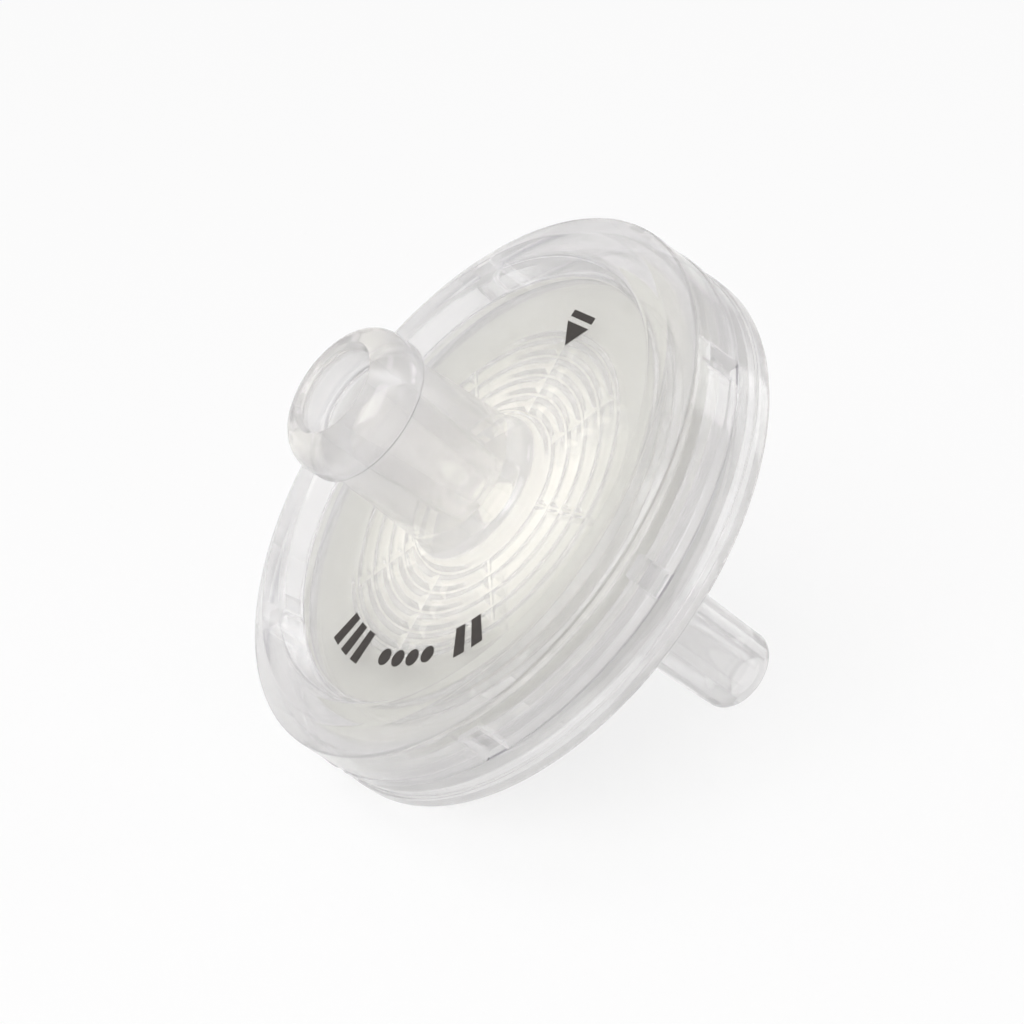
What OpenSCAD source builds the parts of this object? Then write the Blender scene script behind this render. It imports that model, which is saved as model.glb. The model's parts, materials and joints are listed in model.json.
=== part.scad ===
// Syringe filter with a clear two-part housing, a female luer inlet and a male luer outlet.
// Each half is drawn upright on its flow axis, inlet up, with z = 0 on the flange's back face.
// The whole filter is then laid on its flange edge and outlet tip, as it comes to rest on a table.

/* [Membrane] */
// Diameter of the filter membrane
membrane_d = 24; // [22:0.5:32]
// Thickness of the filter membrane
membrane_t = 0.15; // [0.1:0.01:0.3]
// Width of the membrane's edge held between the two halves
clamp_w = 0.8; // [0.5:0.05:1.2]
// Width of the seat outside the membrane
seat_margin = 0.5; // [0.2:0.05:0.8]
// Height of the membrane's seat above the parting line
seat_h = 0.55; // [0.4:0.05:0.8]
// Clearance between the seat's edge and the skirt
seat_clear = 0.1; // [0.05:0.01:0.2]

/* [Housing] */
// Height of the outlet half's edge, from the back face to the parting line
flange_h = 2.15; // [1.8:0.05:3]
// Height of the full-width band at the back of that edge
foot_band_h = 1; // [0.6:0.05:1.4]
// How far the band above it is set in
weld_band_inset = 0.15; // [0.05:0.05:0.4]
// Rounding of the flange's back edge
flange_edge_r = 0.4; // [0.1:0.05:0.5]
// Width of the foot ring under the flange
foot_ring_w = 1.6; // [1:0.1:2.5]
// Depth of the recess in the back face
back_recess = 0.7; // [0.2:0.1:1]
// Wall of the inlet half's skirt
skirt_wall = 1.4; // [1:0.05:1.8]
// Thickness of the inlet half's face
face_t = 1.2; // [0.8:0.1:2]
// Height of the raised rim above the face
rim_rise = 1; // [0.5:0.1:2]
// Width of the raised rim, measured along its top
rim_w = 2.5; // [2:0.1:3]
// Rounding of the rim's outer edge
rim_edge_r = 1.2; // [0.3:0.1:1.3]
// How far the rim's inner wall slopes inward
rim_slope = 0.45; // [0.1:0.05:0.8]

/* [Inlet] */
// Length of the inlet, from the face to its mouth
inlet_l = 8.9; // [8.6:0.1:14]
// Diameter of the inlet tube at the face
inlet_base_d = 7; // [6.6:0.1:8]
// Diameter of the inlet tube under its collar
inlet_neck_d = 6.3; // [5.8:0.1:6.6]
// Fillet between the inlet tube and the face
inlet_fillet_r = 0.6; // [0.2:0.1:1.5]
// Diameter of the collar
collar_d = 7.2; // [7:0.1:7.9]
// Length of the collar
collar_l = 2.2; // [1.8:0.1:3.5]
// Rounding of the collar's front edge
collar_front_r = 1.2; // [0.3:0.1:1.3]
// Rounding of the collar's back edge
collar_back_r = 0.3; // [0.1:0.05:0.4]
// Diameter of the female luer bore at its mouth
inlet_mouth_d = 4.27; // [4.225:0.005:4.27]
// Length of the straight stretch at the mouth, before the bore's cone starts
mouth_lead_l = 0.75; // [0.6:0.05:1]
// Depth of the female luer bore
inlet_bore_l = 8.4; // [7.5:0.1:8.6]
// Bevel round the mouth
mouth_bevel = 0.2; // [0.1:0.05:0.5]
// Diameter of the hole from the luer bore into the filter chamber
inlet_port_d = 2.4; // [1:0.1:3]

/* [Outlet] */
// Length of the outlet, from the back face to its tip
outlet_l = 13.4; // [12:0.1:18]
// Diameter of the male luer cone at its tip
tip_d = 4; // [3.97:0.005:4.07]
// Length of the male luer tip, up to the hub
tip_cone_l = 8; // [7.5:0.1:9]
// Length of the straight stretch behind the tip's rounding, before the cone starts
tip_lead_l = 0.25; // [0.2:0.05:0.5]
// Rounding of the tip's edge
tip_edge_r = 0.5; // [0.1:0.05:0.6]
// Diameter of the hub where it meets the cone
hub_neck_d = 5.6; // [5:0.1:6]
// Diameter of the hub at the flange
hub_d = 6.8; // [6.2:0.1:9]
// Length of the shoulder between the cone and the hub
hub_shoulder_l = 0.6; // [0.3:0.1:1.5]
// Fillet between the hub and the flange
hub_fillet_r = 0.8; // [0.2:0.1:1.5]
// Diameter of the bore through the outlet
outlet_bore_d = 2.1; // [1.5:0.1:2.4]
// Diameter of the funnel where the drain meets that bore
funnel_d = 3.4; // [2.8:0.1:4]
// Depth of that funnel
funnel_h = 0.6; // [0.3:0.1:1]

/* [Luer taper] */
// Taper of both luer cones, as diameter over length
luer_taper = 0.06; // [0.055:0.001:0.065]

/* [Notches] */
// Number of notches round the skirt
notch_count = 8; // [4:1:12]
// Width of a notch
notch_w = 1.15; // [0.6:0.05:2]
// Height of a notch above the parting line
notch_h = 1.9; // [0.8:0.1:2.2]
// Depth of a notch
notch_depth = 0.6; // [0.2:0.05:0.8]
// Angle of the first notch from the top of the resting filter
notch_turn = 13.5; // [0:0.5:45]

/* [Ribs over the membrane] */
// Number of ring ribs on the inside of the face
ring_count = 5; // [2:1:6]
// Mean diameter of the smallest ring rib
ring_first_d = 8.3; // [6:0.1:9]
// Distance from one ring rib to the next
ring_pitch = 1; // [0.8:0.05:1.15]
// Width of a ring rib
ring_w = 0.4; // [0.2:0.05:0.6]
// Height of the ribs
rib_h = 0.4; // [0.2:0.05:0.5]
// Gap between the ribs and the membrane
rib_gap = 0.15; // [0.1:0.05:0.4]
// Number of straight ribs that cross the rings
spoke_count = 8; // [4:1:12]
// Width of a straight rib
spoke_w = 0.4; // [0.2:0.05:0.6]
// Angle of the first straight rib from the top of the resting filter
spoke_turn = 20; // [0:0.5:45]

/* [Drain under the membrane] */
// Depth of the drain under the membrane
drain_depth = 0.5; // [0.3:0.05:0.8]
// Number of support rings in the drain
drain_ring_count = 8; // [4:1:9]
// Mean diameter of the smallest support ring
drain_first_d = 5; // [4.6:0.1:6]
// Distance from one support ring to the next
drain_pitch = 1; // [0.8:0.05:1.05]
// Width of a support ring
drain_ring_w = 0.4; // [0.2:0.05:0.6]
// Number of channels that cross the support rings
channel_count = 8; // [4:1:12]
// Width of such a channel
channel_w = 0.8; // [0.4:0.05:1.2]

/* [Hidden] */

$fn = 96;
arc_steps = 8;  // straight pieces in a rounded edge of the outline
cut = 0.5;      // how far a cutting tool runs past the surface it opens
bite = 0.1;     // how far a rib reaches into the wall that carries it

membrane_r = membrane_d / 2;
seat_r = membrane_r + seat_margin;
skirt_inner_r = seat_r + seat_clear;
housing_r = skirt_inner_r + skirt_wall;
chamber_r = membrane_r - clamp_w;
rim_inner_r = housing_r - rim_w;
face_r = rim_inner_r - rim_slope;

// heights along the flow axis
seat_z = flange_h + seat_h;
drain_z = seat_z - drain_depth;
clamp_z = seat_z + membrane_t;
rib_z = clamp_z + rib_gap;
face_inner_z = rib_z + rib_h;
face_z = face_inner_z + face_t;
rim_z = face_z + rim_rise;
mouth_z = face_z + inlet_l;
collar_z = mouth_z - collar_l;
tip_z = -outlet_l;
cone_end_z = tip_z + tip_cone_l;
hub_z = cone_end_z + hub_shoulder_l;

luer_slope = luer_taper / 2;
cone_start_z = tip_z + tip_edge_r + tip_lead_l;
cone_end_r = tip_d / 2 + luer_slope * (cone_end_z - cone_start_z);

// Pose at rest: the roundings of the flange's back edge and of the outlet tip both touch the table.
// Each is the circle [distance of its centre from the axis, height of its centre, radius].
flange_touch = [housing_r - flange_edge_r, flange_edge_r, flange_edge_r];
tip_touch = [tip_d / 2 - tip_edge_r, tip_z + tip_edge_r, tip_edge_r];
touch_gap_r = flange_touch[0] - tip_touch[0];
touch_gap_z = flange_touch[1] - tip_touch[1];
rest_angle = acos((tip_touch[2] - flange_touch[2]) / norm([touch_gap_r, touch_gap_z]))
    - atan2(touch_gap_z, touch_gap_r);
rest_z = flange_touch[0] * cos(rest_angle) - flange_touch[1] * sin(rest_angle) + flange_touch[2];

// How far a rounding reaches along +X or -X in that pose
function reach(touch, side) =
    touch[0] * sin(rest_angle) + side * touch[1] * cos(rest_angle) + touch[2];
rim_touch = [housing_r - rim_edge_r, rim_z - rim_edge_r, rim_edge_r];
collar_touch = [collar_d / 2 - collar_front_r, mouth_z - collar_front_r, collar_front_r];
front_reach = max(reach(rim_touch, 1), reach(collar_touch, 1));
back_reach = max(reach(flange_touch, -1), reach(tip_touch, -1));
rest_x = (front_reach - back_reach) / 2;

module at_rest() {
    translate([rest_x, 0, rest_z]) rotate([0, rest_angle - 90, 0]) children();
}

// Points of an arc round [x, z], from one angle to another
function arc(x, z, r, from, to) =
    [for (i = [0:arc_steps]) let (a = from + (to - from) * i / arc_steps) [x + r * cos(a), z + r * sin(a)]];

module ring(mean_r, width, low, high) {
    translate([0, 0, low]) difference() {
        cylinder(r = mean_r + width / 2, h = high - low);
        translate([0, 0, -cut]) cylinder(r = mean_r - width / 2, h = high - low + 2 * cut);
    }
}

module spoke(from_r, to_r, width, low, high) {
    translate([from_r, -width / 2, low]) cube([to_r - from_r, width, high - low]);
}

module around(count, turn) {
    for (i = [0:count - 1]) rotate([0, 0, turn + i * 360 / count]) children();
}

// Cone or cylinder between two heights
module bore(low, low_r, high, high_r) {
    translate([0, 0, low]) cylinder(h = high - low, r1 = low_r, r2 = high_r);
}

module inlet_outline() {
    polygon(concat(
        [[0, face_inner_z], [chamber_r, face_inner_z], [chamber_r, clamp_z], [skirt_inner_r, clamp_z],
         [skirt_inner_r, flange_h], [housing_r, flange_h]],
        arc(housing_r - rim_edge_r, rim_z - rim_edge_r, rim_edge_r, 0, 90),
        [[rim_inner_r, rim_z], [face_r, face_z]],
        arc(inlet_base_d / 2 + inlet_fillet_r, face_z + inlet_fillet_r, inlet_fillet_r, 270, 180),
        [[inlet_neck_d / 2, collar_z]],
        arc(collar_d / 2 - collar_back_r, collar_z + collar_back_r, collar_back_r, -90, 0),
        arc(collar_d / 2 - collar_front_r, mouth_z - collar_front_r, collar_front_r, 0, 90),
        [[0, mouth_z]]
    ));
}

module inlet_bore() {
    floor_z = mouth_z - inlet_bore_l;
    lead_z = mouth_z - mouth_lead_l;
    mouth_r = inlet_mouth_d / 2;
    bore(floor_z, mouth_r - luer_slope * (lead_z - floor_z), lead_z, mouth_r);
    bore(lead_z, mouth_r, mouth_z, mouth_r);
    bore(mouth_z - mouth_bevel, mouth_r, mouth_z + cut, mouth_r + mouth_bevel + cut);
    bore(rib_z - cut, inlet_port_d / 2, floor_z + cut, inlet_port_d / 2);
}

module inlet_ribs() {
    for (i = [0:ring_count - 1])
        ring(ring_first_d / 2 + i * ring_pitch, ring_w, rib_z, face_inner_z + bite);
    around(spoke_count, spoke_turn)
        spoke(ring_first_d / 2, ring_first_d / 2 + (ring_count - 1) * ring_pitch, spoke_w,
              rib_z, face_inner_z + bite);
}

module inlet_housing() {
    color([0.88, 0.88, 0.9, 0.6]) at_rest() difference() {
        union() {
            rotate_extrude() inlet_outline();
            inlet_ribs();
        }
        inlet_bore();
        around(notch_count, notch_turn)
            spoke(housing_r - notch_depth, housing_r + cut, notch_w, flange_h - cut, flange_h + notch_h);
    }
}

module outlet_outline() {
    polygon(concat(
        [[0, tip_z]],
        arc(tip_touch[0], tip_touch[1], tip_edge_r, -90, 0),
        [[tip_d / 2, cone_start_z], [cone_end_r, cone_end_z], [hub_neck_d / 2, hub_z]],
        arc(hub_d / 2 + hub_fillet_r, back_recess - hub_fillet_r, hub_fillet_r, 180, 90),
        [[housing_r - foot_ring_w, back_recess], [housing_r - foot_ring_w, 0]],
        arc(flange_touch[0], flange_touch[1], flange_edge_r, -90, 0),
        [[housing_r, foot_band_h], [housing_r - weld_band_inset, foot_band_h],
         [housing_r - weld_band_inset, flange_h], [seat_r, flange_h], [seat_r, seat_z],
         [chamber_r, seat_z], [chamber_r, drain_z], [0, drain_z]]
    ));
}

module drain_rings() {
    difference() {
        for (i = [0:drain_ring_count - 1])
            ring(drain_first_d / 2 + i * drain_pitch, drain_ring_w, drain_z - bite, seat_z);
        around(channel_count, spoke_turn)
            spoke(0, chamber_r, channel_w, drain_z - cut, seat_z + cut);
    }
}

module outlet_housing() {
    color([0.86, 0.87, 0.88, 0.6]) at_rest() difference() {
        union() {
            rotate_extrude() outlet_outline();
            drain_rings();
        }
        bore(tip_z - cut, outlet_bore_d / 2, drain_z + cut, outlet_bore_d / 2);
        bore(drain_z - funnel_h, outlet_bore_d / 2, drain_z, funnel_d / 2);
    }
}

module filter_membrane() {
    color([0.96, 0.95, 0.92]) at_rest() translate([0, 0, seat_z]) cylinder(r = membrane_r, h = membrane_t);
}

inlet_housing();
outlet_housing();
filter_membrane();
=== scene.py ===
"""Syringe filter with a clear two-part housing, dressed over its CAD frame.

Laid out as an add-on and run as a script. Lengths in the panels are in millimetres of the real
filter; the scene itself is in metres, in the frame of the CAD model.
"""

import json
import math

import bmesh
import bpy
from bpy.props import FloatProperty, IntProperty, PointerProperty, StringProperty
from mathutils import Matrix, Vector


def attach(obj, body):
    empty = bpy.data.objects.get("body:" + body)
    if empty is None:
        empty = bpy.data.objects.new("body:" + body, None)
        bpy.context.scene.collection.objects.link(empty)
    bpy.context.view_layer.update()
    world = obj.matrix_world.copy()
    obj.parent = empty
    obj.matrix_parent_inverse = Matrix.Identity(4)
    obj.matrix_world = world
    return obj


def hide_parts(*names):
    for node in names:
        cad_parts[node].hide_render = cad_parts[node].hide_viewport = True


bl_info = {
    "name": "Syringe filter",
    "version": (1, 0, 0),
    "blender": (4, 5, 0),
    "location": "3D View > Sidebar > Syringe filter",
    "description": "Builds a clear syringe filter with its membrane, print and stage",
    "category": "Object",
}

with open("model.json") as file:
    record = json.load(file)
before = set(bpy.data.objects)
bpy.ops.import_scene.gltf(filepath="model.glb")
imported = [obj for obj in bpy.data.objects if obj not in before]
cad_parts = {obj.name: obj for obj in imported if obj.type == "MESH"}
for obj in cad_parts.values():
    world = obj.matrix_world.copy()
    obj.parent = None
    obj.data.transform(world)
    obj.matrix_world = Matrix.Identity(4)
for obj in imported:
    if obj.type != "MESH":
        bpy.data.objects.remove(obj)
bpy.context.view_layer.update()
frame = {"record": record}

MM = 0.001
TURN = 2 * math.pi
# mm that a cutting block runs on past the part, and that a rib runs up into the ceiling
OVERCUT = 1.0
ROOT_OVERLAP = 0.1
# mm from which a rounding counts as bold: it may use up its whole side, and its arc gets a point every 9 degrees
BOLD_ROUNDING = 0.25
ARC_STEP = 9
# mm over which a mark in the plastic fades out
MARK_SOFTNESS = 0.04
# share of plain white that the floor shows beside its shading
FLOOR_GLOW = 0.72


# ---------------------------------------------------------------- sizes and colours


def size(name, text, default, low=0.0, high=100.0):
    """A length in millimetres. Blender's own length unit would show it as metres."""
    return FloatProperty(name=name, description=text + ", in mm", default=default, min=low, max=high, precision=3)


def angle(name, text, degrees):
    """An angle, given in degrees and held in radians."""
    return FloatProperty(name=name, description=text, default=math.radians(degrees), subtype="ANGLE", unit="ROTATION")


def count(name, text, default, low=1):
    """A whole number of like features or of steps."""
    return IntProperty(name=name, description=text, default=default, min=low)


def shade(name, text, value):
    """A colour, held as text, so that its hex value can be read and typed."""
    return StringProperty(name=name, description=text + ", as an sRGB hex value", default=value)


class FilterHousing(bpy.types.PropertyGroup):
    """Sizes that both halves of the housing share. Heights run along the flow axis from the flange's back face."""

    outer_r: size("Housing radius", "Radius of the housing", 14.0)
    flange_h: size("Parting height", "Height of the line where the two halves meet", 2.15)
    foot_band_h: size("Foot band height", "Height of the full-width band at the back", 1.0)
    weld_inset: size("Weld band inset", "How far the band above it is set in", 0.15)
    foot_ring_w: size("Foot ring width", "Width of the ring the flange stands on", 1.6)
    back_recess: size("Back recess", "Depth of the recess in the back face", 0.7)
    back_edge_r: size("Back edge rounding", "Rounding of the flange's back edge", 0.4)
    skirt_r: size("Skirt inner radius", "Inner radius of the inlet half's skirt", 12.6)
    seat_r: size("Seat radius", "Radius of the membrane's seat", 12.5)
    seat_z: size("Seat height", "Height of the membrane's seat", 2.7)
    chamber_r: size("Chamber radius", "Radius of the filter chamber", 11.2)
    clamp_z: size("Clamp height", "Height of the face that holds the membrane down", 2.85)
    rib_z: size("Rib height", "Height of the ribs' lower edge", 3.0)
    ceiling_z: size("Ceiling height", "Height of the chamber's ceiling", 3.4)
    face_z: size("Face height", "Height of the front face", 4.6)
    face_r: size("Face radius", "Radius of the front face", 11.05)
    rim_z: size("Rim height", "Height of the raised rim", 5.6)
    rim_inner_r: size("Rim inner radius", "Inner radius of the rim's top", 11.5)
    rim_slope_z: size("Rim slope start", "Height at which the skirt turns into the rim's outer slope", 4.95)
    rim_slope_r: size("Rim slope end", "Radius at which that slope meets the rim's crown", 12.75)
    rim_edge_r: size("Rim edge rounding", "Rounding of the rim's outer edge", 0.22)
    rim_crown_r: size("Rim crown rounding", "Rounding of the rim's crown", 0.45)
    weld_band_z: size("Weld bead height", "Height of the top of the bead above the parting line", 2.75)
    weld_band_out: size("Weld bead step", "How far that bead stands out from the skirt", 0.05)
    bead_r: size("Weld bead rounding", "Rounding of the bead", 0.2)
    groove: size("Parting groove", "Bevel on either side of the parting line", 0.12)
    ring_count: count("Ring ribs", "Ring ribs on the chamber's ceiling", 5)
    ring_first_r: size("First ring radius", "Mean radius of the smallest ring rib", 4.15)
    ring_pitch: size("Ring pitch", "Distance from one ring rib to the next", 1.0)
    rib_w: size("Rib width", "Width of each rib at half its height", 0.4)
    rib_draft: size("Rib draft", "How much wider a ceiling rib is at its root than at its crest", 0.24)
    rib_edge_r: size("Rib rounding", "Rounding of the ceiling ribs' crests", 0.16)
    rib_root_r: size("Rib root", "Fillet between the ribs and the ceiling", 0.2)
    spoke_rise: size("Spoke rise", "How far the straight ribs' crests stay above those of the rings", 0.02)
    rib_turn: angle("Rib turn", "Angle of the first straight rib", 20)
    notch_w: size("Notch width", "Width of a notch in the skirt", 1.15)
    notch_h: size("Notch height", "Height of a notch above the parting line", 1.9)
    notch_depth: size("Notch depth", "Depth of a notch", 0.6)
    notch_lip_r: size("Notch lip", "Rounding of a notch's long edges", 0.14)
    notch_bevel: size("Notch bevel", "Bevel along the sides of a notch's floor", 0.08)
    notch_turn: angle("Notch turn", "Angle of the first notch", 12.6)
    spoke_count: count("Repeats", "Straight ribs and notches, and twice the drain channels", 8)
    drain_z: size("Drain floor", "Height of the drain's floor", 2.2)
    drain_rings: count("Drain rings", "Support rings in the drain", 8)
    drain_first_r: size("First drain ring", "Mean radius of the smallest support ring", 2.5)
    channel_w: size("Channel width", "Width of the drain's straight channels", 0.8)
    channel_end: size("Channel end", "Distance from a channel's end to the chamber's wall", 0.2)
    air: size("Air gap", "Gap between pieces that touch, so that each surface keeps its own gloss", 0.012)
    crease_r: size("Moulded edge", "Rounding of a plain moulded edge", 0.07)
    segments: count("Segments", "Segments round the housing", 256, 32)


class FilterLuers(bpy.types.PropertyGroup):
    """Sizes of the female inlet and the male outlet."""

    mouth_z: size("Mouth height", "Height of the inlet's mouth", 13.5)
    tube_base_r: size("Tube base radius", "Radius of the inlet tube at the face", 3.5)
    tube_neck_r: size("Tube neck radius", "Radius of the inlet tube under its collar", 3.15)
    base_fillet_r: size("Base fillet", "Fillet between the tube and the face", 0.6)
    collar_r: size("Collar radius", "Radius of the collar", 3.6)
    collar_l: size("Collar length", "Length of the collar", 2.2)
    collar_front_r: size("Collar front rounding", "Rounding of the collar's front edge", 1.2)
    collar_back_r: size("Collar back rounding", "Rounding of the collar's back edge", 0.12)
    mouth_r: size("Mouth radius", "Radius of the female bore at its mouth", 2.135)
    mouth_lead: size("Mouth lead", "Length of the straight stretch at the mouth", 0.75)
    mouth_bevel: size("Mouth bevel", "Bevel round the mouth", 0.2)
    bore_l: size("Bore depth", "Depth of the female bore", 8.4)
    port_r: size("Port radius", "Radius of the hole into the chamber", 1.2)
    tip_z: size("Tip height", "Height of the outlet's tip, below the flange's back face", -13.4, -100.0)
    tip_r: size("Tip radius", "Radius of the male cone at its tip", 2.0)
    tip_edge_r: size("Tip rounding", "Rounding of the tip's edge", 0.5)
    tip_lead: size("Tip lead", "Length of the straight stretch behind that rounding", 0.25)
    cone_l: size("Cone length", "Length of the male tip, up to the hub", 8.0)
    shoulder_l: size("Shoulder length", "Length of the shoulder between cone and hub", 0.6)
    hub_neck_r: size("Hub neck radius", "Radius of the hub where it meets the shoulder", 2.8)
    hub_r: size("Hub radius", "Radius of the hub at the flange", 3.4)
    hub_fillet_r: size("Hub fillet", "Fillet between the hub and the flange", 0.8)
    outlet_r: size("Outlet bore radius", "Radius of the bore through the outlet", 1.05)
    funnel_r: size("Funnel radius", "Radius of the funnel where the drain meets that bore", 1.7)
    funnel_h: size("Funnel depth", "Depth of that funnel", 0.6)
    slope: FloatProperty(name="Luer slope", description="Radius over length of both luer cones", default=0.03)


class FilterMembrane(bpy.types.PropertyGroup):
    """Sizes of the membrane disc."""

    disc_r: size("Membrane radius", "Radius of the membrane", 12.0)
    disc_t: size("Membrane thickness", "Thickness of the membrane", 0.15)
    air: size("Air gap", "Gap on either face of the membrane", 0.003)
    edge_r: size("Edge rounding", "Rounding of the membrane's cut edge", 0.05)
    sag: size("Sag", "How far the membrane sags between the support rings", 0.025)
    flat_w: size("Flat border", "Width of the border that stays flat, inside the chamber's wall", 0.3)
    fade_w: size("Sag fade", "Distance from the chamber's wall over which the sag grows to its full depth", 1.2)
    steps: count("Steps", "Steps from the axis to the chamber's wall", 168)
    segments: count("Segments", "Segments round the membrane", 192, 32)


class FilterPrint(bpy.types.PropertyGroup):
    """Plain marks on the front face: a flow arrow and a row of bars and dots."""

    gap: size("Gap", "Gap between the face and the ink", 0.004)
    film: size("Film", "Thickness of the ink", 0.012)
    arrow_turn: angle("Arrow angle", "Where the flow arrow stands", 11.7)
    arrow_r: size("Arrow radius", "Distance of the arrow's middle from the axis", 8.45)
    arrow_l: size("Arrow length", "Length of the arrow, from its tip to the far side of its bar", 1.7)
    arrow_w: size("Arrow width", "Width of the arrow and of its bar", 1.9)
    arrow_bar: size("Arrow bar", "Thickness of the arrow's bar", 0.35)
    arrow_gap: size("Arrow gap", "Gap between the arrow's triangle and its bar", 0.25)
    row_turn: angle("Row angle", "Where the middle of the row stands", 208.7)
    row_span: angle("Row span", "Angle that the row covers", 74)
    row_inner_r: size("Row inner radius", "Inner radius of the row", 8.0)
    row_outer_r: size("Row outer radius", "Outer radius of the row", 9.6)
    bar_share: FloatProperty(
        name="Bar share", description="Share of its place that a bar fills", default=0.6, min=0, max=1, subtype="FACTOR"
    )
    bar_steps: count("Bar steps", "Steps along a bar's arc", 6)
    dot_r: size("Dot radius", "Radius of a dot", 0.42)
    dot_segments: count("Dot segments", "Segments round a dot", 40, 8)


class FilterColours(bpy.types.PropertyGroup):
    """Colours of the pieces and the stage."""

    plastic: shade("Plastic", "Tint of the clear plastic", "#F2F1F1")
    # painted shade: grey for the marks painted into the plastic, partly the welded seam's own tone
    weld: shade("Weld", "Tone of the weld line and the witness line", "#77757E")
    membrane: shade("Membrane", "Colour of the membrane", "#FFFFF5")
    membrane_fibre: shade("Membrane fibre", "Colour of the membrane's denser spots", "#FBF8EF")
    # painted shade: the grey that the membrane's colour turns to away from its middle
    membrane_painted_shade: shade("Membrane border", "Colour of the membrane's sealed border", "#CDCDC3")
    ink: shade("Ink", "Colour of the printed marks", "#3B3633")
    floor: shade("Floor", "Colour of the floor", "#F4F4F4")


def linear(text):
    """Linear RGBA of an sRGB hex value."""
    out = []
    for i in (1, 3, 5):
        c = int(text[i : i + 2], 16) / 255
        out.append(c / 12.92 if c <= 0.04045 else ((c + 0.055) / 1.055) ** 2.4)
    return (*out, 1.0)


# ---------------------------------------------------------------- shapes


def flow_frame(luers):
    """The flow axis as a matrix: origin at height 0 on the axis, Z towards the inlet, X up the slope.

    The CAD record's inlet mount gives it.
    """
    mount = next(m for m in frame["record"]["mounts"] if m["name"] == "luer_inlet")
    z = Vector(mount["axis"]).normalized()
    height = (luers.mouth_z - (luers.mouth_bevel + luers.mouth_lead) / 2) * MM
    y = Vector((0, 1, 0))
    x = y.cross(z)
    out = Matrix((x, y, z)).transposed().to_4x4()
    out.translation = Vector(mount["pos_m"]) - z * height
    return out


def rounded(corners, steps=5):
    """Points of a closed outline. Each corner is (radius, height, rounding), in mm, and turns into an arc."""
    out = []
    for i, (r, z, bend) in enumerate(corners):
        p = Vector((r, z))
        back = Vector(corners[i - 1][:2]) - p
        on = Vector(corners[(i + 1) % len(corners)][:2]) - p
        half = back.angle(on) / 2
        if bend <= 0 or half > math.radians(89.5):  # no rounding is asked for, or the corner is all but straight
            out.append(p)
            continue
        bold = bend >= BOLD_ROUNDING
        limit = (0.98 if bold else 0.49) * min(back.length, on.length)
        run = min(bend / math.tan(half), limit)
        bend = run * math.tan(half)
        back.normalize()
        on.normalize()
        centre = p + (back + on).normalized() * (bend / math.sin(half))
        start = p + back * run - centre
        end = p + on * run - centre
        sweep = start.angle_signed(end)
        parts = max(2, steps, round(abs(math.degrees(sweep)) / ARC_STEP) if bend >= BOLD_ROUNDING else 0)
        for k in range(parts + 1):
            c, s = math.cos(-sweep * k / parts), math.sin(-sweep * k / parts)
            out.append(centre + Vector((start.x * c - start.y * s, start.x * s + start.y * c)))
    return out


def lathe(name, outline, segments):
    """A solid of revolution about the flow axis, in metres, from a closed outline in mm."""
    bm = bmesh.new()
    rings = []
    for r, z in outline:
        rings.append(
            [
                bm.verts.new((r * MM * math.cos(TURN * i / segments), r * MM * math.sin(TURN * i / segments), z * MM))
                for i in range(segments)
            ]
        )
    for a, b in zip(rings, rings[1:] + rings[:1]):
        for i in range(segments):
            j = (i + 1) % segments
            bm.faces.new((a[i], a[j], b[j], b[i]))
    return as_object(name, bm)


def as_object(name, bm):
    """Turns the mesh being built into an object of the scene."""
    bmesh.ops.recalc_face_normals(bm, faces=bm.faces)
    mesh = bpy.data.meshes.new(name)
    bm.to_mesh(mesh)
    bm.free()
    out = bpy.data.objects.new(name, mesh)
    bpy.context.scene.collection.objects.link(out)
    return out


def prism(bm, foot, top):
    """A solid between two outlines of as many points, in mm."""
    low, high = ([bm.verts.new([v * MM for v in point]) for point in outline] for outline in (foot, top))
    bm.faces.new(high)
    bm.faces.new(low[::-1])
    for i in range(len(low)):
        j = (i + 1) % len(low)
        bm.faces.new((low[i], low[j], high[j], high[i]))


def slab(bm, points, low, high):
    """A slab between two heights, from the points of its outline."""
    prism(bm, [(x, y, low) for x, y in points], [(x, y, high) for x, y in points])


def beside(r, across, turn):
    """The point at a distance from the flow axis and off to one side, with both turned about that axis."""
    c, s = math.cos(turn), math.sin(turn)
    return (r * c - across * s, r * s + across * c)


def rail(bm, section, start, end, turn):
    """A straight bar from one radius to another. Its section is given as (across, height)."""
    prism(bm, *([(*beside(r, across, turn), z) for across, z in section] for r in (start, end)))


def notch_outline(h, turn):
    """Outline of one notch, seen along the flow axis. Its long sides flare out in a small rounding at the skirt."""
    half, lip, r = h.notch_w / 2, h.notch_lip_r, h.outer_r - h.weld_band_out
    floor = r - h.notch_depth
    side = [(floor, half - h.notch_bevel), (floor + h.notch_bevel, half)]
    for k in range(7):
        a = k * TURN / 24
        side.append((r - lip + lip * math.sin(a), half + lip - lip * math.cos(a)))
    side.append((r + OVERCUT, half + lip))
    return [beside(x, y, turn) for x, y in side + [(x, -y) for x, y in reversed(side)]]


def combined(target, blocks, operation):
    """Joins the blocks to the target or cuts them from it, and keeps the result as the target's mesh."""
    tool = as_object(target.name + ".tool", blocks)
    modifier = target.modifiers.new("cut", "BOOLEAN")
    modifier.operation = operation
    modifier.solver = "MANIFOLD"
    modifier.object = tool
    settle(target)
    bpy.data.objects.remove(tool)


def settle(target):
    """Turns the target's modifiers into its mesh."""
    dg = bpy.context.evaluated_depsgraph_get()
    mesh = bpy.data.meshes.new_from_object(target.evaluated_get(dg), depsgraph=dg)
    if not mesh.polygons:
        raise RuntimeError(f"{target.name} came out empty")
    target.modifiers.clear()
    old, target.data = target.data, mesh
    bpy.data.meshes.remove(old)


def smoothed(target, degrees=28):
    """Smooth shading that keeps sharp edges sharp and flat faces flat."""
    mesh = target.data
    mesh.shade_smooth()
    mesh.set_sharp_from_angle(angle=math.radians(degrees))
    weighted = target.modifiers.new("even shading", "WEIGHTED_NORMAL")
    weighted.keep_sharp = True
    settle(target)


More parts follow.
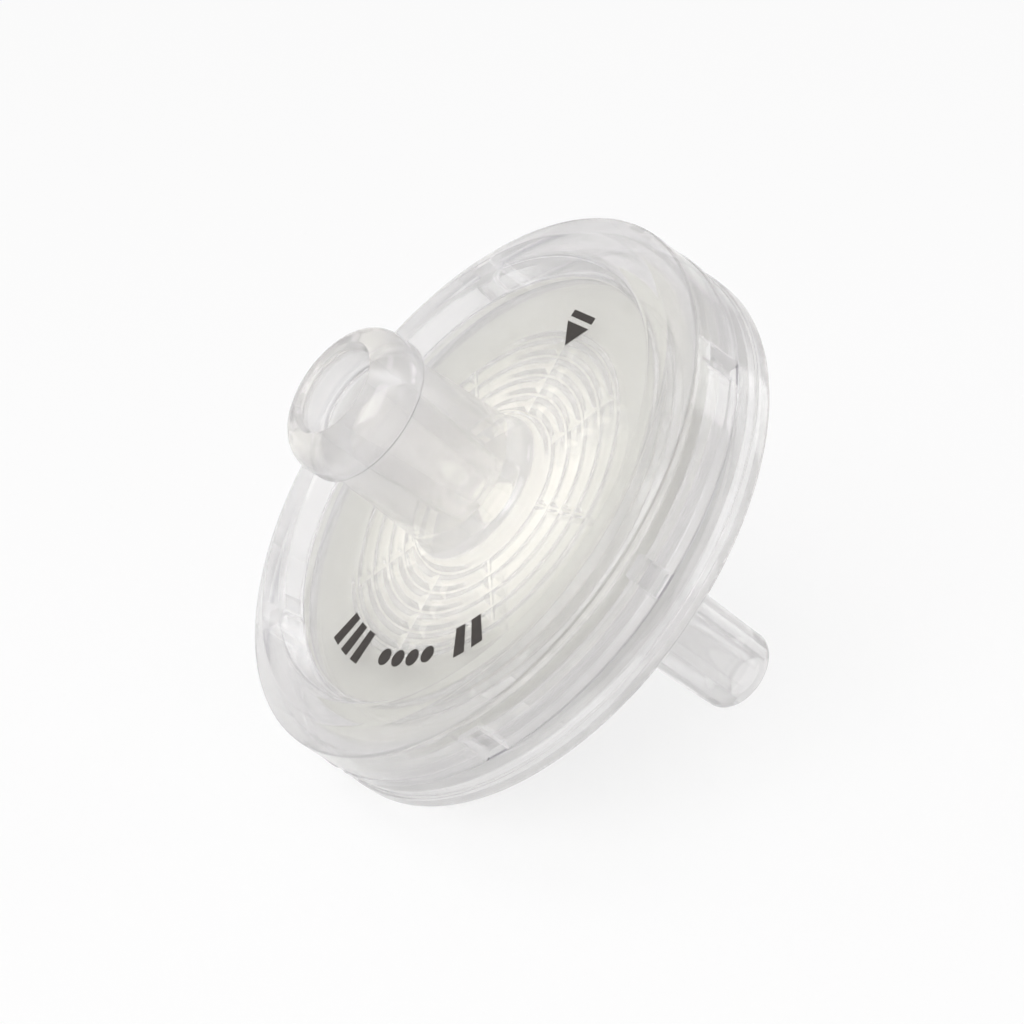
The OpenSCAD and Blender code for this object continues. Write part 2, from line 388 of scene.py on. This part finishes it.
def placed(target, luers, node, material):
    """Lays a piece's mesh on the flow axis, gives it its material, hangs it on the root body and hides the CAD node it
    stands in for.
    """
    target.data.transform(flow_frame(luers))
    target.data.materials.clear()
    target.data.materials.append(material)
    bpy.context.view_layer.update()
    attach(target, "root")
    if node:
        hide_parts(node)


# ---------------------------------------------------------------- materials


def add(nt, kind, links=(), **settings):
    """Adds a node.

    settings go on the node or, by input name with _ for a space, on its sockets. links are pairs of an input
    and what feeds it, which is a socket or a constant.
    """
    node = nt.nodes.new(kind)
    for key, value in settings.items():
        if hasattr(node, key):
            setattr(node, key, value)
        else:
            node.inputs[key.replace("_", " ")].default_value = value
    for name, source in links:
        if isinstance(source, bpy.types.NodeSocket):
            nt.links.new(source, node.inputs[name])
        else:
            node.inputs[name].default_value = source
    return node


def spacing(mm):
    """Scale of a pattern whose coordinates are in metres, from its real spacing in mm."""
    return 1 / (mm * MM)


def new_material(name):
    """An empty material and its node tree."""
    mat = bpy.data.materials.new(name)
    mat.use_nodes = True
    mat.node_tree.nodes.clear()
    return mat, mat.node_tree


def along_flow(nt):
    """Texture coordinates in metres that start on the flow axis and run along it in Z."""
    flow = flow_frame(bpy.context.scene.filter_luers)
    place = add(nt, "ShaderNodeTexCoord")
    return add(
        nt, "ShaderNodeMapping", [("Vector", place.outputs["Object"])],
        vector_type="TEXTURE", Location=flow.translation, Rotation=flow.to_euler(),
    ).outputs["Vector"]


def off_axis(nt, place):
    """Distance from the flow axis, in metres."""
    flat = add(nt, "ShaderNodeVectorMath", [(0, place), (1, (1, 1, 0))], operation="MULTIPLY")
    return add(nt, "ShaderNodeVectorMath", [(0, flat.outputs[0])], operation="LENGTH").outputs["Value"]


def clear_moulded_polypropylene(tint, marks, mark_tone):
    """Clarified polypropylene, injection moulded against a polished tool.

    Edges and ribs draw bright and grey lines, and grey marks painted into its colour add painted shade lines. A slight
    milkiness scatters some of the light, so thick walls never look like glass, and the alpha lets a share of the light
    pass straight on, as through a thin wall.
    """
    mat, nt = new_material("clear moulded polypropylene")
    place = along_flow(nt)
    # flow waviness of the moulding, about 3 mm from crest to crest
    wave = add(nt, "ShaderNodeTexNoise", [("Vector", place)], Scale=spacing(3.03), Detail=1.5, Roughness=0.4)
    bump = add(nt, "ShaderNodeBump", [("Height", wave.outputs["Fac"])], Strength=0.12, Distance=0.03 * MM)
    # fine eroded texture of the tool, which is finer than 0.25 mm in truth and is drawn at that
    grain = add(nt, "ShaderNodeTexNoise", [("Vector", place)], Scale=spacing(0.25), Detail=2.0)
    fine = add(
        nt, "ShaderNodeBump", [("Height", grain.outputs["Fac"]), ("Normal", bump.outputs["Normal"])],
        Strength=0.25, Distance=0.003 * MM,
    )
    # marks: rings round the axis, each between two heights and two radii, with soft edges, where grey is painted into
    # the colour as shade
    height = add(nt, "ShaderNodeSeparateXYZ", [("Vector", place)]).outputs["Z"]
    radius = off_axis(nt, place)
    tone = linear(tint)
    for low, high, near, far, share in marks:
        bands = []
        for value, start, end in ((height, low, high), (radius, near, far)):
            off = add(nt, "ShaderNodeMath", [(0, value), (1, (start + end) / 2 * MM)], operation="SUBTRACT")
            gap = add(nt, "ShaderNodeMath", [(0, off.outputs[0])], operation="ABSOLUTE")
            reach = (end - start) / 2
            bands.append(
                add(
                    nt, "ShaderNodeMapRange", [("Value", gap.outputs[0])],
                    From_Min=(reach - MARK_SOFTNESS) * MM, From_Max=reach * MM, To_Min=1.0, To_Max=0.0,
                )
            )
        ring = add(nt, "ShaderNodeMath", [(0, bands[0].outputs[0]), (1, bands[1].outputs[0])], operation="MULTIPLY")
        part = add(nt, "ShaderNodeMath", [(0, ring.outputs[0]), (1, share)], operation="MULTIPLY")
        tone = add(
            nt, "ShaderNodeMix", [("Factor", part.outputs[0]), ("A", tone), ("B", linear(mark_tone))],
            data_type="RGBA",
        ).outputs["Result"]
    body = add(
        nt, "ShaderNodeBsdfPrincipled", [("Base Color", tone), ("Normal", fine.outputs["Normal"])],
        Roughness=0.14, IOR=1.49, Transmission_Weight=0.77, Alpha=0.8,
    )
    # light from the lamps passes through, so that the filter's shadow stays pale
    ray = add(nt, "ShaderNodeLightPath")
    clear = add(nt, "ShaderNodeBsdfTransparent", Color=(0.97, 0.97, 0.97, 1))
    mix = add(
        nt, "ShaderNodeMixShader",
        [("Fac", ray.outputs["Is Shadow Ray"]), (1, body.outputs[0]), (2, clear.outputs[0])],
    )
    add(nt, "ShaderNodeOutputMaterial", [("Surface", mix.outputs[0])])
    return mat


def cellulose_membrane(colour, dense, border):
    """Mixed cellulose ester, cast as a microporous sheet.

    It is a matte warm white, a little mottled, and gives off no gloss. Away from its middle it is painted greyer, as
    painted shade, so that the middle reads lighter.
    """
    mat, nt = new_material("cast cellulose ester membrane")
    place = along_flow(nt)
    # denser spots, about 1 mm apart, as the cast sheet dried
    mottle = add(nt, "ShaderNodeTexNoise", [("Vector", place)], Scale=spacing(1.11), Detail=4.0, Roughness=0.6)
    tone = add(
        nt, "ShaderNodeMix", [("Factor", mottle.outputs["Fac"]), ("A", linear(colour)), ("B", linear(dense))],
        data_type="RGBA",
    )
    # painted shade: the grey sets in between 5 mm and 9 mm from the flow axis, so the middle reads lighter
    near = add(
        nt, "ShaderNodeMapRange", [("Value", off_axis(nt, place))],
        interpolation_type="SMOOTHSTEP", From_Min=5 * MM, From_Max=9 * MM,
    )
    both = add(
        nt, "ShaderNodeMix",
        [("Factor", near.outputs["Result"]), ("A", tone.outputs["Result"]), ("B", linear(border))],
        data_type="RGBA",
    )
    # the real pores are 0.2 micrometres wide, so they are drawn at 0.1 mm to show at all
    pores = add(nt, "ShaderNodeTexVoronoi", [("Vector", place)], Scale=spacing(0.1))
    bump = add(nt, "ShaderNodeBump", [("Height", pores.outputs["Distance"])], Strength=0.5, Distance=0.02 * MM)
    body = add(
        nt, "ShaderNodeBsdfPrincipled",
        [("Base Color", both.outputs["Result"]), ("Normal", bump.outputs["Normal"])],
        Roughness=0.9, IOR=1.5, Specular_IOR_Level=0.2,
    )
    add(nt, "ShaderNodeOutputMaterial", [("Surface", body.outputs[0])])
    return mat


def pad_printed_ink(colour):
    """Pad-printed ink: a thin dark film, matte, a touch uneven where the pad let go."""
    mat, nt = new_material("pad printed ink")
    place = along_flow(nt)
    # uneven cover, in spots 0.3 mm apart
    cover = add(nt, "ShaderNodeTexNoise", [("Vector", place)], Scale=spacing(0.286), Detail=3.0)
    tone = add(
        nt, "ShaderNodeMapRange", [("Value", cover.outputs["Fac"])],
        From_Min=0.3, From_Max=0.7, To_Min=0.85, To_Max=1.15,
    )
    ink = add(nt, "ShaderNodeHueSaturation", [("Value", tone.outputs["Result"])], Color=linear(colour))
    bump = add(nt, "ShaderNodeBump", [("Height", cover.outputs["Fac"])], Strength=0.3, Distance=0.005 * MM)
    body = add(
        nt, "ShaderNodeBsdfPrincipled",
        [("Base Color", ink.outputs["Color"]), ("Normal", bump.outputs["Normal"])],
        Roughness=0.55, IOR=1.5,
    )
    add(nt, "ShaderNodeOutputMaterial", [("Surface", body.outputs[0])])
    return mat


def seamless_paper(colour):
    """Seamless studio paper: white and matte.

    The camera, glossy and transmission rays also see it glow a little, so that the ground reads as white.
    """
    mat, nt = new_material("seamless studio paper")
    place = add(nt, "ShaderNodeTexCoord")
    # clumps of fibre, 1.7 mm apart
    fibre = add(nt, "ShaderNodeTexNoise", [("Vector", place.outputs["Object"])], Scale=spacing(1.67), Detail=3.0)
    bump = add(nt, "ShaderNodeBump", [("Height", fibre.outputs["Fac"])], Strength=0.1, Distance=0.1 * MM)
    paper = add(
        nt, "ShaderNodeBsdfPrincipled", [("Normal", bump.outputs["Normal"])],
        Base_Color=linear(colour), Roughness=0.95, Specular_IOR_Level=0.1,
    )
    glow = add(nt, "ShaderNodeEmission", Color=(1, 1, 1, 1), Strength=1.0)
    ray = add(nt, "ShaderNodeLightPath")
    seen = add(
        nt, "ShaderNodeMath",
        [(0, ray.outputs["Is Camera Ray"]), (1, ray.outputs["Is Glossy Ray"])], operation="MAXIMUM",
    )
    either = add(
        nt, "ShaderNodeMath",
        [(0, seen.outputs[0]), (1, ray.outputs["Is Transmission Ray"])], operation="MAXIMUM",
    )
    share = add(nt, "ShaderNodeMath", [(0, either.outputs[0]), (1, FLOOR_GLOW)], operation="MULTIPLY")
    mix = add(
        nt, "ShaderNodeMixShader",
        [("Fac", share.outputs[0]), (1, paper.outputs[0]), (2, glow.outputs[0])],
    )
    add(nt, "ShaderNodeOutputMaterial", [("Surface", mix.outputs[0])])
    return mat


def shared_plastic(scene):
    """The plastic of both halves, with grey marks painted in as shade along edges and in the notches, one of them
    partly the welded seam's own tone.
    """
    name = "clear moulded polypropylene"
    if name in bpy.data.materials:
        return bpy.data.materials[name]
    h, p, colours = scene.filter_housing, scene.filter_luers, scene.filter_colours
    near, far = h.outer_r - 0.3, h.outer_r + 0.3
    floor_r = h.outer_r - h.notch_depth
    collar_z = p.mouth_z - p.collar_l
    # for each mark its lower and upper height, its inner and outer radius, and its share of the grey
    marks = (
        # the parting line: partly the welded seam's own grey, partly painted shade of the groove between the halves
        (h.flange_h - 0.08, h.flange_h + 0.08, near, far, 1.0),
        # painted shade: a grey line at the rim's outer edge
        (h.rim_slope_z - 0.06, h.rim_slope_z + 0.06, near, far, 0.3),
        # painted shade: a grey line over the chamber's wall round the membrane, where the wall seen edge on looks dark
        (h.clamp_z - 0.05, h.ceiling_z + 0.05, h.chamber_r - 0.12, h.chamber_r + 0.12, 0.6),
        # painted shade: the notches' floors drawn a shade greyer, as shade in the recess
        (h.flange_h + 0.05, h.flange_h + h.notch_h - 0.02, floor_r - 0.2, floor_r + 0.05, 0.13),
        # painted shade: a dark line at the collar's back edge
        (collar_z - 0.06, collar_z + 0.12, p.collar_r - 0.24, p.collar_r + 0.1, 0.9),
    )
    return clear_moulded_polypropylene(colours.plastic, marks, colours.weld)


# ---------------------------------------------------------------- operators


class FILTER_OT_inlet_half(bpy.types.Operator):
    """Build the inlet half: luer inlet with collar, face, raised rim, notched skirt and ribs"""

    bl_idname = "syringe_filter.inlet_half"
    bl_label = "Inlet half"

    def execute(self, context):
        h, p = context.scene.filter_housing, context.scene.filter_luers
        e = h.crease_r
        floor_z = p.mouth_z - p.bore_l
        lead_z = p.mouth_z - p.mouth_lead
        crest, root = (h.rib_w - h.rib_draft) / 2, (h.rib_w + h.rib_draft) / 2
        rings = []
        for i in range(h.ring_count):
            r = h.ring_first_r + i * h.ring_pitch
            rings += [
                (r - root, h.ceiling_z, h.rib_root_r),
                (r - crest, h.rib_z, h.rib_edge_r),
                (r + crest, h.rib_z, h.rib_edge_r),
                (r + root, h.ceiling_z, h.rib_root_r),
            ]
        outline = rounded(
            [
                (p.port_r, h.ceiling_z, e),
                *rings,
                (h.chamber_r, h.ceiling_z, e),
                (h.chamber_r, h.clamp_z + h.air, e / 2),
                (h.skirt_r, h.clamp_z + h.air, e / 2),
                (h.skirt_r, h.flange_h + h.air, e / 2),
                (h.outer_r - h.groove, h.flange_h + h.air, 0),
                (h.outer_r, h.flange_h + h.air + h.groove, h.bead_r),
                (h.outer_r, h.weld_band_z, h.bead_r),
                (h.outer_r - h.weld_band_out, h.weld_band_z + h.weld_band_out / 2, e / 2),
                (h.outer_r - h.weld_band_out, h.rim_slope_z, h.rim_edge_r),
                (h.rim_slope_r, h.rim_z, h.rim_crown_r),
                (h.rim_inner_r, h.rim_z, h.rim_crown_r),
                (h.face_r, h.face_z, 2 * e),
                (p.tube_base_r, h.face_z, p.base_fillet_r),
                (p.tube_neck_r, p.mouth_z - p.collar_l, 2 * e),
                (p.collar_r, p.mouth_z - p.collar_l, p.collar_back_r),
                (p.collar_r, p.mouth_z, p.collar_front_r),
                (p.mouth_r + p.mouth_bevel, p.mouth_z, e / 2),
                (p.mouth_r, p.mouth_z - p.mouth_bevel, e / 2),
                (p.mouth_r, lead_z, 0),
                (p.mouth_r - p.slope * (lead_z - floor_z), floor_z, 2 * e),
                (p.port_r, floor_z, e),
            ]
        )
        piece = lathe("inlet_half", outline, h.segments)
        ribs = bmesh.new()
        last = h.ring_first_r + (h.ring_count - 1) * h.ring_pitch
        low, high = h.rib_z + h.spoke_rise, h.ceiling_z + ROOT_OVERLAP
        section = rounded([(-root, high, 0), (-crest, low, h.rib_edge_r), (crest, low, h.rib_edge_r), (root, high, 0)])
        for i in range(h.spoke_count):
            rail(ribs, section, h.ring_first_r, last, h.rib_turn + TURN * i / h.spoke_count)
        combined(piece, ribs, "UNION")
        notches = bmesh.new()
        for i in range(h.spoke_count):
            outline = notch_outline(h, h.notch_turn + TURN * i / h.spoke_count)
            slab(notches, outline, h.flange_h - OVERCUT, h.flange_h + h.notch_h)
        combined(piece, notches, "DIFFERENCE")
        smoothed(piece)
        placed(piece, p, "inlet_housing", shared_plastic(context.scene))
        return {"FINISHED"}


class FILTER_OT_outlet_half(bpy.types.Operator):
    """Build the outlet half: flange, membrane seat, drain, hub and male luer tip"""

    bl_idname = "syringe_filter.outlet_half"
    bl_label = "Outlet half"

    def execute(self, context):
        h, p = context.scene.filter_housing, context.scene.filter_luers
        e = h.crease_r
        cone_z = p.tip_z + p.cone_l
        start_z = p.tip_z + p.tip_edge_r + p.tip_lead
        rings = []
        for i in reversed(range(h.drain_rings)):
            r = h.drain_first_r + i * h.ring_pitch
            for x, z in ((1, h.drain_z), (1, h.seat_z), (-1, h.seat_z), (-1, h.drain_z)):
                rings.append((r + x * h.rib_w / 2, z - h.air, e))
        outline = rounded(
            [
                (p.outlet_r, p.tip_z, 2 * e),
                (p.tip_r, p.tip_z, p.tip_edge_r),
                (p.tip_r, start_z, 0),
                (p.tip_r + p.slope * (cone_z - start_z), cone_z, e),
                (p.hub_neck_r, cone_z + p.shoulder_l, 2 * e),
                (p.hub_r, h.back_recess, p.hub_fillet_r),
                (h.outer_r - h.foot_ring_w, h.back_recess, 2 * e),
                (h.outer_r - h.foot_ring_w, 0, e),
                (h.outer_r, 0, h.back_edge_r),
                (h.outer_r, h.foot_band_h, e / 2),
                (h.outer_r - h.weld_inset, h.foot_band_h, e / 2),
                (h.outer_r - h.weld_inset, h.flange_h - h.air - h.groove / 2, e / 2),
                (h.outer_r - h.weld_inset - h.groove, h.flange_h - h.air, 0),
                (h.seat_r, h.flange_h - h.air, e / 2),
                (h.seat_r, h.seat_z - h.air, e / 2),
                (h.chamber_r, h.seat_z - h.air, e / 2),
                (h.chamber_r, h.drain_z - h.air, e),
                *rings,
                (p.funnel_r, h.drain_z - h.air, e),
                (p.outlet_r, h.drain_z - p.funnel_h, e),
            ]
        )
        piece = lathe("outlet_half", outline, h.segments)
        channels = bmesh.new()
        half, top_z, end = h.channel_w / 2, h.seat_z + OVERCUT, h.chamber_r - h.channel_end
        section = [(-half, h.drain_z), (half, h.drain_z), (half, top_z), (-half, top_z)]
        for i in range(h.spoke_count // 2):
            rail(channels, section, -end, end, h.rib_turn + TURN * i / h.spoke_count)
        combined(piece, channels, "DIFFERENCE")
        smoothed(piece)
        placed(piece, p, "outlet_housing", shared_plastic(context.scene))
        return {"FINISHED"}


class FILTER_OT_membrane(bpy.types.Operator):
    """Build the membrane, which sags a little between the rings that hold it up"""

    bl_idname = "syringe_filter.membrane"
    bl_label = "Membrane"

    def execute(self, context):
        h, p, m = context.scene.filter_housing, context.scene.filter_luers, context.scene.filter_membrane
        low, high = h.seat_z + m.air, h.seat_z + m.disc_t - m.air
        radii = [i * h.chamber_r / m.steps for i in range(m.steps + 1)]

        def dip(r):
            """Height off the flat, which is 0 over each support ring and falls to the sag midway between two."""
            if r > h.chamber_r - m.flat_w:
                return 0.0
            share = (1 - math.cos(TURN * (r - h.drain_first_r) / h.ring_pitch)) / 2
            return -m.sag * share * min(1.0, (h.chamber_r - r) / m.fade_w)

        top = [(r, high + dip(r)) for r in radii]
        under = [(r, low + dip(r)) for r in radii]
        wall = h.chamber_r
        edge = rounded([(wall, low, 0), (m.disc_r, low, m.edge_r), (m.disc_r, high, m.edge_r), (wall, high, 0)])[1:-1]
        piece = lathe("membrane", [*under, *edge, *reversed(top)], m.segments)
        # the points that meet on the axis become one, and the edge left between them goes
        closed = bmesh.new()
        closed.from_mesh(piece.data)
        bmesh.ops.remove_doubles(closed, verts=closed.verts, dist=1e-7)
        bmesh.ops.delete(closed, geom=[edge for edge in closed.edges if not edge.link_faces], context="EDGES")
        closed.to_mesh(piece.data)
        closed.free()
        smoothed(piece)
        c = context.scene.filter_colours
        material = cellulose_membrane(c.membrane, c.membrane_fibre, c.membrane_painted_shade)
        placed(piece, p, "filter_membrane", material)
        return {"FINISHED"}


class FILTER_OT_print(bpy.types.Operator):
    """Print a flow arrow and a row of bars and dots on the face"""

    bl_idname = "syringe_filter.print"
    bl_label = "Print"

    def execute(self, context):
        h, p, k = context.scene.filter_housing, context.scene.filter_luers, context.scene.filter_print
        low = h.face_z + k.gap
        high = low + k.film
        bm = bmesh.new()
        # flow arrow: a triangle that points to the inlet, and a bar behind it
        half = k.arrow_w / 2
        tip, back = k.arrow_r - k.arrow_l / 2, k.arrow_r + k.arrow_l / 2
        front = back - k.arrow_bar
        base = front - k.arrow_gap
        for outline in (
            [(tip, 0), (base, -half), (base, half)],
            [(front, -half), (back, -half), (back, half), (front, half)],
        ):
            slab(bm, [beside(r, across, k.arrow_turn) for r, across in outline], low, high)
        # the row, in three groups: bars, dots, bars
        marks = ["bar"] * 3 + [None] + ["dot"] * 4 + [None] + ["bar"] * 2
        step = k.row_span / len(marks)
        middle = (k.row_inner_r + k.row_outer_r) / 2
        for i, mark in enumerate(marks):
            turn = k.row_turn - k.row_span / 2 + (i + 0.5) * step
            if mark == "bar":
                arc = [turn + step * k.bar_share * (j / k.bar_steps - 0.5) for j in range(k.bar_steps + 1)]
                outline = [beside(k.row_outer_r, 0, a) for a in arc]
                outline += [beside(k.row_inner_r, 0, a) for a in reversed(arc)]
                slab(bm, outline, low, high)
            elif mark == "dot":
                x, y = beside(middle, 0, turn)
                round_dot = [beside(k.dot_r, 0, TURN * j / k.dot_segments) for j in range(k.dot_segments)]
                slab(bm, [(x + a, y + b) for a, b in round_dot], low, high)
        piece = as_object("face_print", bm)
        placed(piece, p, None, pad_printed_ink(context.scene.filter_colours.ink))
        return {"FINISHED"}


class FILTER_OT_stage(bpy.types.Operator):
    """Build the floor, the soft lights and the camera"""

    bl_idname = "syringe_filter.stage"
    bl_label = "Stage"

    def execute(self, context):
        scene = context.scene
        stage_floor(scene)
        stage_lights(scene)
        stage_camera(scene)
        scene.view_settings.view_transform = "Standard"
        scene.cycles.max_bounces = 14
        scene.cycles.transmission_bounces = 14
        scene.cycles.transparent_max_bounces = 24
        scene.cycles.diffuse_bounces = 8
        scene.cycles.glossy_bounces = 8
        return {"FINISHED"}


def stage_floor(scene):
    """A plain pale floor, 3 m across, at the height of the table."""
    bm = bmesh.new()
    bmesh.ops.create_grid(bm, x_segments=8, y_segments=8, size=1.5)
    floor = as_object("studio_floor", bm)
    floor.data.materials.append(seamless_paper(scene.filter_colours.floor))


def stage_lights(scene):
    """A pale room and four soft boxes, all turned towards the middle of the filter."""
    middle = Vector((0, 0, 0.012))
    world = bpy.data.worlds.new("soft room")
    world.use_nodes = True
    nt = world.node_tree
    nt.nodes.clear()
    back = add(nt, "ShaderNodeBackground", Color=(1.0, 0.99, 0.995, 1), Strength=0.55)
    add(nt, "ShaderNodeOutputWorld", [("Surface", back.outputs[0])])
    scene.world = world
    # name, place, width, height in metres, power in watts
    for name, place, wide, tall, power in (
        ("softbox_key", (-0.22, -0.26, 0.42), 0.45, 0.45, 1.78),
        ("softbox_top", (0.045, 0.09, 0.445), 0.15, 0.15, 0.14),
        ("softbox_side", (0.44, 0.05, 0.11), 0.21, 0.12, 0.25),
        ("softbox_back", (-0.1865, 0.347, 0.144), 0.016, 0.012, 0.0012),
    ):
        data = bpy.data.lights.new(name, "AREA")
        data.shape = "RECTANGLE"
        data.size, data.size_y, data.energy = wide, tall, power
        lamp = bpy.data.objects.new(name, data)
        lamp.location = place
        lamp.rotation_euler = (middle - Vector(place)).to_track_quat("-Z", "Y").to_euler()
        scene.collection.objects.link(lamp)


def stage_camera(scene):
    """A long lens from the left and above, aimed a little beside the flow axis. Distances are in metres."""
    turn, tilt, away = math.radians(20.5), math.radians(26.0), 0.224
    aim_left, aim_up = 0.00148, 0.00108
    view = Vector((math.sin(turn) * math.cos(tilt), math.cos(turn) * math.cos(tilt), -math.sin(tilt)))
    right = Vector((math.cos(turn), -math.sin(turn), 0))
    up = right.cross(view)
    origin = flow_frame(scene.filter_luers).translation
    aim = origin - right * aim_left + up * aim_up
    data = bpy.data.cameras.new("camera")
    data.lens, data.sensor_width = 172.7, 36.0
    data.clip_start, data.clip_end = 0.01, 20
    camera = bpy.data.objects.new("camera", data)
    camera.location = aim - view * away
    camera.rotation_euler = view.to_track_quat("-Z", "Y").to_euler()
    scene.collection.objects.link(camera)
    scene.camera = camera


class FILTER_PT_panel(bpy.types.Panel):
    """Sizes, colours and pieces of the syringe filter"""

    bl_idname = "FILTER_PT_panel"
    bl_label = "Syringe filter"
    bl_space_type = "VIEW_3D"
    bl_region_type = "UI"
    bl_category = "Syringe filter"

    def draw(self, context):
        for operator in OPERATORS:
            self.layout.operator(operator.bl_idname)
        for key, group in GROUPS.items():
            box = self.layout.box()
            box.label(text=key.replace("_", " ").capitalize())
            for field in group.__annotations__:
                box.prop(getattr(context.scene, key), field)


GROUPS = {
    "filter_housing": FilterHousing,
    "filter_luers": FilterLuers,
    "filter_membrane": FilterMembrane,
    "filter_print": FilterPrint,
    "filter_colours": FilterColours,
}
OPERATORS = (
    FILTER_OT_inlet_half,
    FILTER_OT_outlet_half,
    FILTER_OT_membrane,
    FILTER_OT_print,
    FILTER_OT_stage,
)


def register():
    for cls in (*GROUPS.values(), *OPERATORS, FILTER_PT_panel):
        bpy.utils.register_class(cls)
    for key, group in GROUPS.items():
        setattr(bpy.types.Scene, key, PointerProperty(type=group))


def unregister():
    for key in GROUPS:
        delattr(bpy.types.Scene, key)
    for cls in reversed((*GROUPS.values(), *OPERATORS, FILTER_PT_panel)):
        bpy.utils.unregister_class(cls)


def main():
    register()
    for name in ("inlet_half", "outlet_half", "membrane", "print", "stage"):
        getattr(bpy.ops.syringe_filter, name)()


if __name__ == "__main__":
    main()
